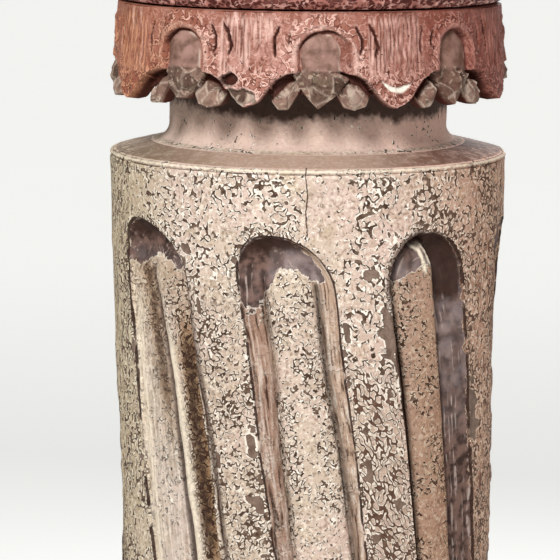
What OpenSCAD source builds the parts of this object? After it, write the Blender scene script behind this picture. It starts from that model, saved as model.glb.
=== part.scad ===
// Carved and turned wooden column, painted.
// A shaft that narrows downwards carries spiral flutes, each with a reed lying in it.
// Above the shoulder a narrow neck rises into a collar carved as hanging leaves, and a
// roll, a bell and a square abacus make the capital. A turned base stands on a plinth.
// Millimetres, +Z up, origin on the ground under the middle of the plinth.
// Azimuths are degrees from the front, which is -Y, turning towards +X.

/* [Shaft] */
// Diameter at the shoulder, the widest part of the shaft
shaft_d = 240; // [224:1:250]
// Diameter at the foot
foot_d = 198; // [180:1:204]
// Length from the base up to the edge of the shoulder
shaft_h = 1080; // [800:10:1400]
// Diameter of the neck between the shoulder and the collar
neck_d = 168; // [150:1:176]
// Rise of the sloping top of the shoulder
shoulder_rise = 7; // [3:0.5:12]

/* [Flutes] */
// Number of flutes
flutes = 8; // [6:1:9]
// Width of a flute at the shoulder, across its two arrises
flute_w = 57; // [50:1:60]
// Width of the reed that lies in a flute
reed_w = 37; // [24:1:42]
// Depth of the groove on each side of the reed
groove_depth = 9; // [6:0.5:12]
// Depth of the reed's crown below the face of the shaft
crown_depth = 4; // [1:0.5:5]
// Turn of the flutes in one metre, in degrees
twist = 68; // [0:1:90]
// Azimuth of one flute at the shoulder, in degrees
flute_azimuth = -11.7; // [-22:0.1:22]
// Plain band above the flutes
top_band = 37; // [20:1:60]
// Plain band below the flutes
foot_band = 64; // [30:1:120]

/* [Leaf collar] */
// Number of hanging leaves, with a broad petal between each two
leaves = 8; // [6:1:10]
// Height from the leaf tips to the top of the collar
collar_h = 56; // [48:1:70]
// Diameter at the top of the collar
collar_top_d = 231; // [226:1:238]
// Diameter across the leaf tips
collar_hem_d = 244; // [240:1:256]
// Height of the leaf tips above the edge of the shoulder
hem_gap = 35; // [25:1:50]
// Height of the notches between the leaves above their tips
notch_h = 8; // [3:0.5:10]
// Azimuth of one leaf, in degrees
leaf_azimuth = 4; // [-22:0.1:22]

/* [Capital] */
// Height of the roll that sits on the collar
roll_h = 36; // [28:1:44]
// Diameter of the roll
roll_d = 245; // [240:1:256]
// Radius of the hollow under the lip of the bell
bell_cove = 44; // [30:1:48]
// Side of the square abacus
abacus_w = 330; // [322:1:360]
// Thickness of the abacus
abacus_h = 36; // [24:1:50]

/* [Base] */
// Side of the square plinth
plinth_w = 320; // [306:1:380]
// Height of the plinth
plinth_h = 80; // [50:1:120]
// Diameter of the lower roll of the base
base_d = 296; // [286:1:300]

/* [Hidden] */
$fn = 96;

cream = "#d8c4b2";
salmon = "#b5806f";
dark_red = "#8c5548";

shaft_r = shaft_d / 2;
foot_r = foot_d / 2;
neck_r = neck_d / 2;

// Base, from the plinth up: roll, fillet, hollow, fillet, roll, seat of the shaft
low_roll_h = 52;
fillet_h = 8;
hollow_h = 32;
high_roll_h = 28;
seat_h = 12;
base_h = low_roll_h + 2 * fillet_h + hollow_h + high_roll_h + seat_h;
low_fillet_r = base_d / 2 - 14;
high_roll_r = base_d / 2 - 22;
hollow_r = 15;

shoulder_z = plinth_h + base_h + shaft_h;
hem_z = shoulder_z + hem_gap;
collar_z = hem_z + collar_h;

// The underside of the collar is hollowed up to its soffit, where the neck ends
soffit_h = 14;
hem_wall = 14;
neck_flare = 4;

// Capital, from the collar up: roll, fillet, bell, lip
roll_arc = 24;
bell_r = 108;
lip_h = 10;
bell_h = fillet_h + bell_cove + lip_h;
abacus_z = collar_z + roll_h + bell_h;
abacus_step = 8;
plinth_step = 6;

// The sides of one flute and half of the plain land on each side of it, as shares of
// half a flute's pitch: the crown, the slope, foot and wall of the reed, the land
pitch = 360 / flutes;
crown = reed_w / 2;
arris = flute_w / 2;
half_pitch = shaft_r * PI / flutes;
side_steps = [0, crown / 2, crown, arris, (arris + half_pitch) / 2];
flute_steps = concat([for (i = [len(side_steps) - 1:-1:1]) -side_steps[i]], side_steps, [half_pitch]);
columns = [for (f = [0:flutes - 1], s = flute_steps) [f * pitch, s]];

// Heights of the rings of the fluted shaft, measured down from the shoulder
end_rings = 7;
body_rings = 24;
flute_top = top_band;
flute_foot = shaft_h - foot_band;
arch_rings = [for (i = [0:end_rings]) arris * (1 - cos(90 * i / end_rings))];
body_len = flute_foot - flute_top - 2 * arris;
body_drops = [for (i = [1:body_rings - 1]) flute_top + arris + body_len * i / body_rings];
foot_drops = [for (i = [end_rings:-1:0]) flute_foot - arch_rings[i]];
shaft_drops = concat([0], [for (d = arch_rings) flute_top + d], body_drops, foot_drops, [shaft_h]);

// Shoulder and neck, as [radius, height above the shoulder's edge], from the top down
neck_cove = 9;
cove_steps = 4;
neck_profile = concat(
    [[neck_r + neck_flare, hem_gap + soffit_h], [neck_r, hem_gap - 5]],
    [for (i = [0:cove_steps])
        [neck_r + neck_cove * (1 - cos(90 * i / cove_steps)),
         shoulder_rise + neck_cove * (1 - sin(90 * i / cove_steps))]],
    [[shaft_r - 1.5, 1]]);

// One leaf of the hem with half of the petal on each side, from the middle of the leaf:
// [share of half a leaf's pitch, height above the tips as a share of the notches]
hem_half = [[0, 0], [0.14, 0.45], [0.29, 1], [0.43, 0], [0.6, 1], [0.8, 0.3]];
hem_steps = concat(
    [for (i = [len(hem_half) - 1:-1:1]) [-hem_half[i][0], hem_half[i][1]]],
    hem_half, [[1, 0.15]]);
leaf_pitch = 360 / leaves;
collar_columns = [for (f = [0:leaves - 1], s = hem_steps)
    [leaf_azimuth + f * leaf_pitch + s[0] * leaf_pitch / 2, s[1], abs(s[0])]];

// Tongue sunk under a round arch at the head of each leaf
tongue_depth = 3;
tongue_half = 0.2;
tongue_foot = 0.42;
tongue_top = 0.84;
collar_rows = [1, tongue_top, 0.74, 0.58, tongue_foot, 0.28];

// Point at an azimuth from the front, a radius and a height
function at(azimuth, r, z) = [r * sin(azimuth), -r * cos(azimuth), z];

// Depth cut into the shaft at a distance from the middle line of a flute
function flute_cut(d) =
    d >= arris ? 0
    : d >= crown ? groove_depth * (arris - d) / (arris - crown)
    : crown_depth + (groove_depth - crown_depth) * pow(d / crown, 2);

// Distance from the middle line of a flute, which ends in a round arch at each end
function flute_distance(side, drop) =
    let (over = max(flute_top + arris - drop, drop - flute_foot + arris, 0))
    norm([side, over]);

// Radius of the plain shaft at a drop below the shoulder
function plain_r(drop) = shaft_r + (foot_r - shaft_r) * drop / shaft_h;

function shaft_point(column, drop) =
    let (
        r = plain_r(drop),
        side = column[1],
        cut = flute_cut(flute_distance(side, drop)) * r / shaft_r,
        azimuth = flute_azimuth + column[0] + side / shaft_r * 180 / PI + twist * drop / 1000)
    at(azimuth, r - cut, shoulder_z - drop);

function neck_point(column, p) =
    at(flute_azimuth + column[0] + column[1] / shaft_r * 180 / PI, p[0], shoulder_z + p[1]);

// Radius of the outside of the collar at a share of its height above the tips:
// straight down to the lower third, then flaring a little
function collar_r(share) =
    let (hem_r = collar_hem_d / 2, top_r = collar_top_d / 2)
    top_r + (hem_r - top_r) * (0.7 * (1 - share) + 0.3 * pow(1 - share, 4));

function collar_point(column, share) =
    let (
        sunk = column[2] < tongue_half && share > tongue_foot && share < tongue_top,
        r = collar_r(share) - (sunk ? tongue_depth : 0))
    at(column[0], r, hem_z + share * collar_h);

// Faces of a solid whose rings of count points run from its top to its bottom,
// closed at each end by a fan around the point that follows the rings
function ring_faces(rings, count) = concat(
    [for (k = [0:rings - 2], i = [0:count - 1])
        let (j = (i + 1) % count, a = k * count, b = a + count)
        each [[a + i, a + j, b + j], [a + i, b + j, b + i]]],
    [for (i = [0:count - 1]) [rings * count, (i + 1) % count, i]],
    [for (i = [0:count - 1])
        let (a = (rings - 1) * count)
        [rings * count + 1, a + i, a + (i + 1) % count]]);

module ring_solid(rings, top_z, bottom_z) {
    count = len(rings[0]);
    points = concat([for (ring = rings) each ring], [[0, 0, top_z], [0, 0, bottom_z]]);
    polyhedron(points = points, faces = ring_faces(len(rings), count), convexity = 12);
}

// Half of a round roll: its section from the axis out
module roll_section(r, h, arc) {
    square([r - arc, h]);
    intersection() {
        translate([r - arc, h / 2]) circle(arc);
        square([r + 1, h]);
    }
}

module base_section() {
    roll_section(base_d / 2, low_roll_h, low_roll_h / 2);
    translate([0, low_roll_h]) square([low_fillet_r, fillet_h]);
    translate([0, low_roll_h + fillet_h]) difference() {
        square([high_roll_r, hollow_h]);
        translate([high_roll_r + 4, hollow_h / 2]) circle(hollow_r);
    }
    translate([0, low_roll_h + fillet_h + hollow_h]) {
        square([high_roll_r - 2, fillet_h]);
        translate([0, fillet_h]) roll_section(high_roll_r, high_roll_h, high_roll_h / 2);
        translate([0, fillet_h + high_roll_h]) square([foot_r + 9, seat_h]);
    }
}

module capital_section() {
    roll_section(roll_d / 2, roll_h, roll_arc);
    translate([0, roll_h]) square([bell_r + 5, fillet_h]);
    translate([0, roll_h + fillet_h]) difference() {
        square([bell_r + bell_cove - 2, bell_cove]);
        translate([bell_r + bell_cove, 0]) circle(bell_cove);
    }
    translate([0, roll_h + fillet_h + bell_cove]) square([bell_r + bell_cove, lip_h]);
}

// Square block, from its underside, with a step set back along one edge
module stepped_block(w, h, step, step_z) {
    translate([-w / 2, -w / 2, step_z > 0 ? 0 : step]) cube([w, w, h - step]);
    inner = w - 2 * step;
    translate([-inner / 2, -inner / 2, step_z]) cube([inner, inner, step]);
}

module plinth() {
    color(cream) stepped_block(plinth_w, plinth_h, plinth_step, plinth_h - plinth_step);
}

module base() {
    color(dark_red) translate([0, 0, plinth_h]) rotate_extrude() base_section();
}

module shaft() {
    neck_rings = [for (p = neck_profile) [for (c = columns) neck_point(c, p)]];
    flute_rings = [for (d = shaft_drops) [for (c = columns) shaft_point(c, d)]];
    top_z = shoulder_z + neck_profile[0][1];
    color(cream) ring_solid(concat(neck_rings, flute_rings), top_z, shoulder_z - shaft_h);
}

module leaf_collar() {
    inner_r = collar_hem_d / 2 - hem_wall;
    soffit_z = hem_z + soffit_h;
    outside = [for (share = collar_rows) [for (c = collar_columns) collar_point(c, share)]];
    hem = [for (c = collar_columns) collar_point(c, c[1] * notch_h / collar_h)];
    inner_hem = [for (c = collar_columns) at(c[0], inner_r, hem_z + c[1] * notch_h)];
    soffit = [for (c = collar_columns) at(c[0], inner_r - 3, soffit_z)];
    color(salmon) ring_solid(concat(outside, [hem, inner_hem, soffit]), collar_z, soffit_z);
}

module capital() {
    color(dark_red) translate([0, 0, collar_z]) rotate_extrude() capital_section();
}

module abacus() {
    color(cream) translate([0, 0, abacus_z]) stepped_block(abacus_w, abacus_h, abacus_step, 0);
}

plinth();
base();
shaft();
leaf_collar();
capital();
abacus();
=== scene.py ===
"""Looks of a carved, turned and painted wooden column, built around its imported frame.

Shapes are worked out in millimetres and turned to metres when a mesh is made. An azimuth is
in degrees from the front, which is -Y, turning towards +X. A drop is a distance below the
shoulder of the shaft. A colour of three numbers is written as it looks, from 0 to 255.
"""

import functools
import itertools
import math

import bpy
import numpy as np
from mathutils import Matrix, Vector


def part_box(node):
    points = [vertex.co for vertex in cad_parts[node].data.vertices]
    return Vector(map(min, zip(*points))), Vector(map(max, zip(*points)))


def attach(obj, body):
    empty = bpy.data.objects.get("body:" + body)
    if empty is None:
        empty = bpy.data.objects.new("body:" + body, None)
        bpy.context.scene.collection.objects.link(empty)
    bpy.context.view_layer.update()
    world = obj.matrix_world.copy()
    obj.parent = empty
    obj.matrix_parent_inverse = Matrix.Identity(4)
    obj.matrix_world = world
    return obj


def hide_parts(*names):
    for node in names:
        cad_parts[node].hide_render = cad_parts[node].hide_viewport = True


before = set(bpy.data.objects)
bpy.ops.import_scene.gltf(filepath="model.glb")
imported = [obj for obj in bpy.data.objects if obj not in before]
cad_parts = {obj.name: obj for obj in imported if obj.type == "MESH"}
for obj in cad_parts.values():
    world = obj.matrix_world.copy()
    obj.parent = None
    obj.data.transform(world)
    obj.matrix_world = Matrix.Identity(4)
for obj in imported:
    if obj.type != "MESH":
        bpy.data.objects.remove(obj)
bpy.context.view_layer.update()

MM = 0.001


def node_heights(node):
    """Lowest and highest point of a CAD node, in millimetres."""
    low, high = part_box(node)
    return low[2] / MM, high[2] / MM


# ---------------------------------------------------------------- sizes, from the frame

PLINTH_LOW, PLINTH_TOP = node_heights("plinth")
BASE_TOP = node_heights("base")[1]
HEM_Z, COLLAR_TOP = node_heights("leaf_collar")
CAPITAL_TOP = node_heights("capital")[1]
ABACUS_TOP = node_heights("abacus")[1]
PLINTH_SIDE = 2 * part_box("plinth")[1][0] / MM
ABACUS_SIDE = 2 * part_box("abacus")[1][0] / MM

HEM_GAP = 35
SHOULDER_Z = HEM_Z - HEM_GAP
SHAFT_LENGTH = SHOULDER_Z - BASE_TOP
SHOULDER_R = 120
FOOT_R = 99
NECK_R = 84
SOFFIT_RISE = 49

# ---------------------------------------------------------------- flutes

FLUTES = 8
HALF_PITCH = math.pi * SHOULDER_R / FLUTES
FLUTE_AZIMUTH = -11.7
TWIST = 0.068
ARRIS = 28.5
ARRIS_BEVEL = 1.2
ARCH_RISE = 34
ARCH_POWER = 2.15
FOOT_BAND = 64
FOOT_ARCH = SHAFT_LENGTH - FOOT_BAND
# Numbers of the three flutes at the front
LEFT, MIDDLE, RIGHT = 7, 0, 1
FLUTE_TABLE = {
    # The carver's hand: drop of the arch, shift of the flute's middle, lean of the arch, and how
    # far the reed reaches to each side
    "arch": (37.5, 36.5, 37, 35.5, 38, 39, 36, 34.5),
    "shift": (2.8, -0.6, 0.5, -1, 1, -1.5, 1, 5.2),
    "lean": (-5.4, 2.8, -2, 3, -3, 2, -2, -8),
    "reach_left": (14.6, 26.8, 17, 16, 19, 15.5, 17, 10.7),
    "reach_right": (17.4, 5.4, 16, 18, 14.5, 17.5, 17, 18.5),
    # What is left of the paint: how pale and how streaky each side is, how dark the painted shade
    # in the groove beside it is, how brown the bare wood is and how much painted shade it has, and how
    # stained the flute is
    "walls_left": (0.4, 0.15, 0.7, 0.4, 0.7, 0.5, 0.8, 1.0),
    "walls_right": (0.75, 0.15, 0.6, 0.8, 0.5, 0.7, 0.5, 0.25),
    "streaky_left": (1.0, 0.9, 0.8, 0.9, 0.6, 0.9, 0.7, 0.36),
    "streaky_right": (1.0, 0.9, 0.6, 0.7, 0.8, 0.8, 0.8, 0.35),
    "groove_left": (0.25, 0.9, 0.7, 0.6, 0.8, 0.7, 0.7, 0.85),
    "groove_right": (0.6, 1.0, 0.8, 0.8, 0.6, 0.7, 0.8, 0.8),
    "gloom": (0.15, 0.5, 0.4, 0.5, 0.3, 0.5, 0.4, 0.75),
    "stain": (0.05, 0.6, 0.3, 0.35, 0.25, 0.4, 0.3, 0.45),
}
# Two threads of pale paint, painted partly as a highlight, on the reed of the right flute, as [side,
# drop] corners
THREADS = [[(-8.6, 44.5), (-3.5, 47), (-1.2, 53), (-0.6, 60)],
           [(-5.5, 43.5), (0.5, 45.8), (3.2, 50), (4.4, 56)]]
# Larger losses of paint: flute, place across it, drop, half width, half height
SHAFT_CHIPS = [(0, 33, 92, 2, 5), (0, 37, 176, 3, 6), (0, -32, 160, 2, 5), (0, -34, 196, 3, 8),
               (1, -32, 98, 4.5, 12), (1, -30, 120, 2, 10), (1, -38, 60, 4, 3), (1, 33, 150, 5, 16),
               (2, -36, 260, 5, 18), (3, -34, 60, 6, 9), (4, 31, 130, 5, 18), (5, 36, 190, 6, 14),
               (6, -32, 90, 5, 20), (7, 37, 80, 2.5, 5), (7, 33, 48, 6, 2.5), (7, 38, 172, 3, 6)]

# ---------------------------------------------------------------- leaves of the collar

COLLAR_H = COLLAR_TOP - HEM_Z
COLLAR_TOP_R = 115.5
COLLAR_HEM_R = 121.8
LEAF_AZIMUTHS = np.array([3.4, 46.4, 92, 137, 182.5, 227, 274, 321.1])
# Numbers of the leaves at the front, the right and the left
FRONT_LEAF, RIGHT_LEAF, LEFT_LEAF = 0, 1, 7
# A leaf has an arched hollow with a kite-shaped tip below it, and a lobe on each side of the tip.
# Outlines are [distance from the middle of the leaf, height above the tips].
TONGUE_HALF = 11.8
HOLLOW_HALF = 12.8
HOLLOW_CENTRE = 32
KITE = [(-17, 20), (-9, 23.5), (8, 22.8), (18.5, 18), (11, 9), (-1.5, 0.3), (-10.5, 9.5)]
SHORT_KITE = [(-16, 19.5), (-8, 23), (8, 23), (17, 20.5), (12, 11), (4, 4.2), (-5, 3.8), (-11, 10)]
LOBE_RIGHT = [(10, 8), (14, 1.4), (20, -0.2), (27, 1.6), (30, 6.5), (24.5, 13.5), (17, 15.5)]
LOBE_LEFT = [(-29.5, 5), (-25, 0), (-19, 0.2), (-11.5, 11.5), (-14, 16.8), (-19, 15.4)]
PETAL_EDGE = [(11, 21), (15, 20.5), (22, 19.2), (28, 16.5), (33, 11.5), (38, 6), (43, 2.2), (47.1, 1)]
# Long gouges beside the hollow, curved like brackets, from the bottom up
GOUGES = [[(22.8, 30.5), (24.4, 36), (24.3, 41), (20.3, 49)],
          [(33, 29.5), (34.6, 36), (33, 42), (29, 49.5)],
          [(-19, 34), (-19.3, 40), (-17, 46)],
          [(-26, 29), (-27.5, 35), (-27, 42), (-24, 49)]]
# Veins between two leaves: distances from the middle of a leaf
VEINS = (31, 34.2, 37.6, 40.8, 44.2, 47.1)
# Damage: azimuth, height, half width, half height, depth, and whether chalk shows
COLLAR_DAMAGE = [(-22.5, 17, 6, 3.8, 4.5, 0), (-19.5, 7, 10, 4.8, 3, 0), (25.5, 11.5, 9, 1.9, 1.2, 1),
                 (-53, 7, 5, 4, 2, 0), (118, 5, 9, 6, 2.5, 0), (205, 8, 6, 7, 2.2, 0)]
# Slits beside the tip of the right leaf, and the pale edge below each
SLITS = [[(-17, 17), (-3.2, 0.2)], [(22, 18), (40, 4)]]
SLIT_EDGES = [[(-18.6, 15.2), (-5.6, -0.6)], [(19, 16.5), (31, 4)]]


# ---------------------------------------------------------------- noise and curves

class Lattice:
    """Smooth noise from -1 to 1 on a lattice of fixed random values."""

    def __init__(self, seed):
        self.values = np.random.RandomState(seed).uniform(-1, 1, 65536)

    def __call__(self, points, size):
        place = np.asarray(points, float) / size
        cell = np.floor(place).astype(np.int64)
        part = place - cell
        part = part * part * (3 - 2 * part)
        total = 0
        for corner in itertools.product((0, 1), repeat=3):
            key = cell + corner
            mixed = key[..., 0] * 73856093 ^ key[..., 1] * 19349663 ^ key[..., 2] * 83492791
            mixed = (mixed ^ mixed >> 13) & 65535
            weight = np.prod(np.where(corner, part, 1 - part), axis=-1)
            total = total + weight * self.values[mixed]
        return total

    def layered(self, points, size, octaves=3):
        """The noise with finer, weaker noise added to it."""
        total, weight = 0, 1
        for octave in range(octaves):
            total = total + weight * self(points, size / 2 ** octave)
            weight *= 0.55
        return total


def smooth(low, high, value):
    """0 below low, 1 above high, with an eased rise between."""
    part = np.clip((value - low) / (high - low), 0, 1)
    return part * part * (3 - 2 * part)


def bell(value, centre, half):
    """1 at the centre, falling to 0 at half on each side."""
    return 1 - smooth(0, half, np.abs(value - centre))


def highest(*values):
    """The greatest of several numbers, place by place."""
    return functools.reduce(np.maximum, values)


def blend(share, first, second):
    """first where share is 0, second where it is 1, for arrays and for material numbers."""
    return first * (1 - share) + second * share


def around(azimuth, radius, height):
    """Points at azimuths, radii and heights, as an array whose last axis is x, y, z."""
    azimuth, radius, height = np.broadcast_arrays(azimuth, radius, height)
    turn = np.radians(azimuth)
    return np.stack([radius * np.sin(turn), -radius * np.cos(turn), height], axis=-1)


def walk(outline, step):
    """Points along an outline of [r, z] corners, about step apart, corners kept."""
    walked = []
    for (r0, z0), (r1, z1) in zip(outline, outline[1:]):
        count = max(1, round(math.hypot(r1 - r0, z1 - z0) / step))
        walked += [(r0 + (r1 - r0) * i / count, z0 + (z1 - z0) * i / count) for i in range(count)]
    return np.array(walked + [outline[-1]])


def arc(r, z, radius, start, end, count):
    """Points [r, z] on an arc, its angles in degrees from +r turning towards +z."""
    angles = np.radians(np.linspace(start, end, count))
    return [(r + radius * math.cos(a), z + radius * math.sin(a)) for a in angles]


def to_line(across, up, corners):
    """Distance from places on a surface to a line through corners."""
    nearest = 99
    for (x0, y0), (x1, y1) in zip(corners, corners[1:]):
        run, rise = x1 - x0, y1 - y0
        share = np.clip(((across - x0) * run + (up - y0) * rise) / math.hypot(run, rise) ** 2, 0, 1)
        nearest = np.minimum(nearest, np.hypot(across - x0 - share * run, up - y0 - share * rise))
    return nearest


# ---------------------------------------------------------------- meshes

def stacked(parts):
    """Rings and finish numbers of several parts, from the top down. A number that a part doesn't
    name is 0 on it."""
    joined = {}
    for key in dict.fromkeys(key for _, numbers in parts for key in numbers):
        spread = [np.broadcast_to(numbers.get(key, 0.0), points.shape[:2]) for points, numbers in parts]
        joined[key] = np.concatenate(spread)
    return np.concatenate([points for points, _ in parts]), joined


def ring_mesh(name, rows, numbers, slots=None, sharp=50):
    """Closed mesh of rings that run from the top to the bottom, with a fan at each end.

    numbers maps a name to one number for each ring point, and slots gives each band of
    faces between two rings its material."""
    count_rows, count = rows.shape[:2]
    low = (count_rows - 1) * count
    centres = [rows[0].mean(axis=0), rows[-1].mean(axis=0)]
    points = np.concatenate([rows.reshape(-1, 3), centres]) * MM
    near = np.arange(count)
    far = (near + 1) % count
    band = np.arange(count_rows - 1)[:, None] * count
    quads = np.stack([band + near, band + count + near, band + count + far, band + far], axis=-1)
    fans = np.stack([np.full(count, low + count), near, far,
                     np.full(count, low + count + 1), low + far, low + near], axis=-1)
    faces = quads.reshape(-1, 4).tolist() + fans[:, :3].tolist() + fans[:, 3:].tolist()
    mesh = bpy.data.meshes.new(name)
    mesh.from_pydata(points.tolist(), [], faces)
    for key, values in numbers.items():
        layer = mesh.attributes.new(key, "FLOAT", "POINT")
        filled = np.concatenate([values.reshape(-1), [values[0].mean(), values[-1].mean()]])
        layer.data.foreach_set("value", filled.astype(np.float32))
    if slots is not None:
        index = np.repeat(np.concatenate([slots, slots[:1], slots[-1:]]), count)
        mesh.polygons.foreach_set("material_index", index.astype(np.int32))
    mesh.polygons.foreach_set("use_smooth", np.ones(len(mesh.polygons), dtype=bool))
    mesh.set_sharp_from_angle(angle=math.radians(sharp))
    mesh.update()
    return mesh


def add_object(name, data):
    """Puts a mesh, lamp or camera in the scene."""
    made = bpy.data.objects.new(name, data)
    bpy.context.scene.collection.objects.link(made)
    return made


def add_piece(mesh, node, finishes):
    """Puts a mesh in the scene as the piece that stands for a CAD node."""
    piece = add_object(mesh.name, mesh)
    for finish in finishes:
        mesh.materials.append(finish)
    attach(piece, "root")
    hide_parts(node)


# ---------------------------------------------------------------- material nodes

def srgb(red, green, blue):
    """A colour written as it looks, from 0 to 255, as linear numbers."""
    def linear(value):
        value /= 255
        return value / 12.92 if value <= 0.04045 else ((value + 0.055) / 1.055) ** 2.4
    return (linear(red), linear(green), linear(blue), 1)


class Value:
    """What a node gives: a number, a colour or a place that varies over the surface."""

    def __init__(self, nodes, socket):
        self.nodes = nodes
        self.socket = socket

    def __add__(self, other):
        return self.nodes.math("ADD", self, other)

    def __sub__(self, other):
        return self.nodes.math("SUBTRACT", self, other)

    def __rsub__(self, other):
        return self.nodes.math("SUBTRACT", other, self)

    def __mul__(self, other):
        return self.nodes.math("MULTIPLY", self, other)

    def __pow__(self, other):
        return self.nodes.math("POWER", self, other)

    def __abs__(self):
        return self.nodes.math("ABSOLUTE", self)

    def rise(self, low, high, to_low=0.0, to_high=1.0):
        """Eased change from to_low to to_high as the number goes from low to high."""
        ends = {"Value": self, "From Min": low, "From Max": high, "To Min": to_low, "To Max": to_high}
        return self.nodes.add("ShaderNodeMapRange", ends, "Result", interpolation_type="SMOOTHSTEP")


class Nodes:
    """Adds nodes to a tree."""

    def __init__(self, tree):
        self.tree = tree

    def link(self, value, socket):
        if isinstance(value, Value):
            self.tree.links.new(value.socket, socket)
        else:
            socket.default_value = value

    def add(self, kind, inputs, output=0, **settings):
        """Adds a node with its settings and inputs, and gives one of its outputs."""
        node = self.tree.nodes.new(kind)
        for key, setting in settings.items():
            setattr(node, key, setting)
        for key, value in inputs.items():
            self.link(value, node.inputs[key])
        return Value(self, node.outputs[output])

    def math(self, operation, first, second=0.0):
        return self.add("ShaderNodeMath", {0: first, 1: second}, operation=operation)

    def highest(self, *values):
        return functools.reduce(functools.partial(self.math, "MAXIMUM"), values)

    def unlit_white(self, strength):
        """Background or floor as the camera, a mirror or glass sees it: how white it is."""
        seen = [self.add("ShaderNodeLightPath", {}, f"Is {kind} Ray")
                for kind in ("Camera", "Glossy", "Transmission")]
        return self.highest(*seen) * strength


class Finish(Nodes):
    """A procedural material. Sizes in its textures are in millimetres, and each texture has a
    shift of its own, so that no two show the same pattern."""

    def __init__(self, name, roughness):
        self.material = bpy.data.materials.new(name)
        self.material.use_nodes = True
        super().__init__(self.material.node_tree)
        self.shader = self.tree.nodes["Principled BSDF"]
        self.shader.inputs["Specular IOR Level"].default_value = 0.14
        self.shader.inputs["Roughness"].default_value = roughness
        self.place = self.scaled(self.add("ShaderNodeTexCoord", {}, "Object"), 1 / MM)

    def vector(self, operation, first, second):
        return self.add("ShaderNodeVectorMath", {0: first, 1: second}, operation=operation)

    def scaled(self, place, scale):
        return self.add("ShaderNodeVectorMath", {0: place, "Scale": scale}, operation="SCALE")

    def noise(self, size, detail=2.0, shift=0.0, place=None, stretch=None, output="Fac"):
        """Noise whose features are about size across; stretch lengthens them along x, y, z."""
        moved = self.vector("ADD", place or self.place, (shift, 2 * shift, 3 * shift))
        if stretch:
            moved = self.vector("DIVIDE", moved, stretch)
        inputs = {"Vector": moved, "Scale": 1 / size, "Detail": detail}
        return self.add("ShaderNodeTexNoise", inputs, output)

    def uneven(self, size, detail, shift, amount):
        """Noise about 0, times an amount, to make an edge ragged."""
        return (self.noise(size, detail, shift) - 0.5) * amount

    def cells(self, size, place, shift):
        """Distance, in shares of size, from the edges of a net of cells about size across."""
        moved = self.vector("ADD", place, (shift, 2 * shift, 3 * shift))
        return self.add("ShaderNodeTexVoronoi", {"Vector": moved, "Scale": 1 / size}, "Distance",
                        feature="DISTANCE_TO_EDGE")

    def warped(self, size, amount, shift=0.0):
        """The place, pushed about by noise, so that lines in it curl."""
        push = self.vector("SUBTRACT", self.noise(size, 1, shift, output="Color"), (0.5, 0.5, 0.5))
        return self.vector("ADD", self.place, self.scaled(push, amount))

    def turned_about_y(self, place, degrees):
        return self.add("ShaderNodeVectorRotate", {"Vector": place, "Angle": math.radians(degrees)},
                        rotation_type="Y_AXIS")

    def joined(self, x, y, z):
        """A place whose three coordinates are given."""
        return self.add("ShaderNodeCombineXYZ", {0: x, 1: y, 2: z})

    def coordinate(self, axis):
        return self.add("ShaderNodeSeparateXYZ", {0: self.place}, axis)

    def attribute(self, name):
        return self.add("ShaderNodeAttribute", {}, "Fac", attribute_name=name)

    def mix(self, share, first, second, blend_type="MIX"):
        """Colour that is first where share is 0 and second where it is 1."""
        first, second = (srgb(*each) if isinstance(each, tuple) else each for each in (first, second))
        return self.add("ShaderNodeMix", {0: share, 6: first, 7: second}, 2,
                        data_type="RGBA", blend_type=blend_type)

    def finish(self, colour, height, bump_mm):
        """Joins the colour and the height of the surface, in shares of bump_mm, to the shader."""
        self.link(colour, self.shader.inputs["Base Color"])
        bump = self.add("ShaderNodeBump", {"Distance": bump_mm * MM, "Height": height})
        self.link(bump, self.shader.inputs["Normal"])
        return self.material


class Crackle:
    """Paint that has crept and flaked: short curled marks, with a raised edge round each that the
    finishes paint pale, as chalky paint and as a painted highlight.

    crowding, from 0 to 1, says how close the marks lie. lost is where the paint is gone, and
    lip is its raised edge."""

    def __init__(self, f, size, crowding, shift):
        field = f.noise(size, 0.4, shift, f.warped(size * 1.5, size * 1.5, shift))
        share = f.noise(size * 0.8, 1.0, shift + 31) + crowding * 0.3
        half_width = share.rise(0.61, 0.8, 0.0, 0.085)
        beyond = abs(field - 0.5) - half_width
        self.lost = beyond.rise(0.006, -0.010) * half_width.rise(0.004, 0.012)
        near = beyond.rise(0.085, 0.045) * (1 - self.lost)
        self.lip = near * half_width.rise(0.005, 0.04)


# ---------------------------------------------------------------- cream paint

class CreamFinish(Finish):
    """Finish of the cream paint, with the numbers that its steps share."""

    def __init__(self, name, fluted):
        super().__init__(name, 0.7)
        self.fluted = fluted
        self.wear = self.attribute("wear")
        self.calm = self.attribute("calm")
        self.across = self.coordinate("X")
        # The right and left sides, where the cream is painted darker and warm, and olive, as shade
        self.right_warm_shade = self.across.rise(40, 116)
        self.left_olive_shade = self.across.rise(-70, -118)
        # Colour of the raised paint edges: pale paint and a painted highlight, tinted with the painted
        # side shade
        self.pale = self.mix(self.right_warm_shade, (255, 246, 232), (238, 204, 178))
        self.pale = self.mix(self.left_olive_shade, self.pale, (236, 222, 192))
        self.ripples = self.noise(2.2, 1.5, 85, self.warped(4, 4, 84))
        if fluted:
            self.from_middle = self.attribute("from_middle")
            self.off_crease = self.attribute("off_crease")
            self.groove = self.attribute("groove")
            self.below_arch = self.attribute("in_arch").rise(0.5, 0.1)
            self.crept = (self.attribute("crept") + self.uneven(12, 3, 99, 1.2)).rise(0.36, 0.5)
            from_crease = self.from_middle - self.off_crease
            self.along = self.joined(self.from_middle, from_crease, self.coordinate("Z"))
            self.streaks = self.noise(1.9, 2.5, 6, self.along, (1, 0.3, 20))


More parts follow.
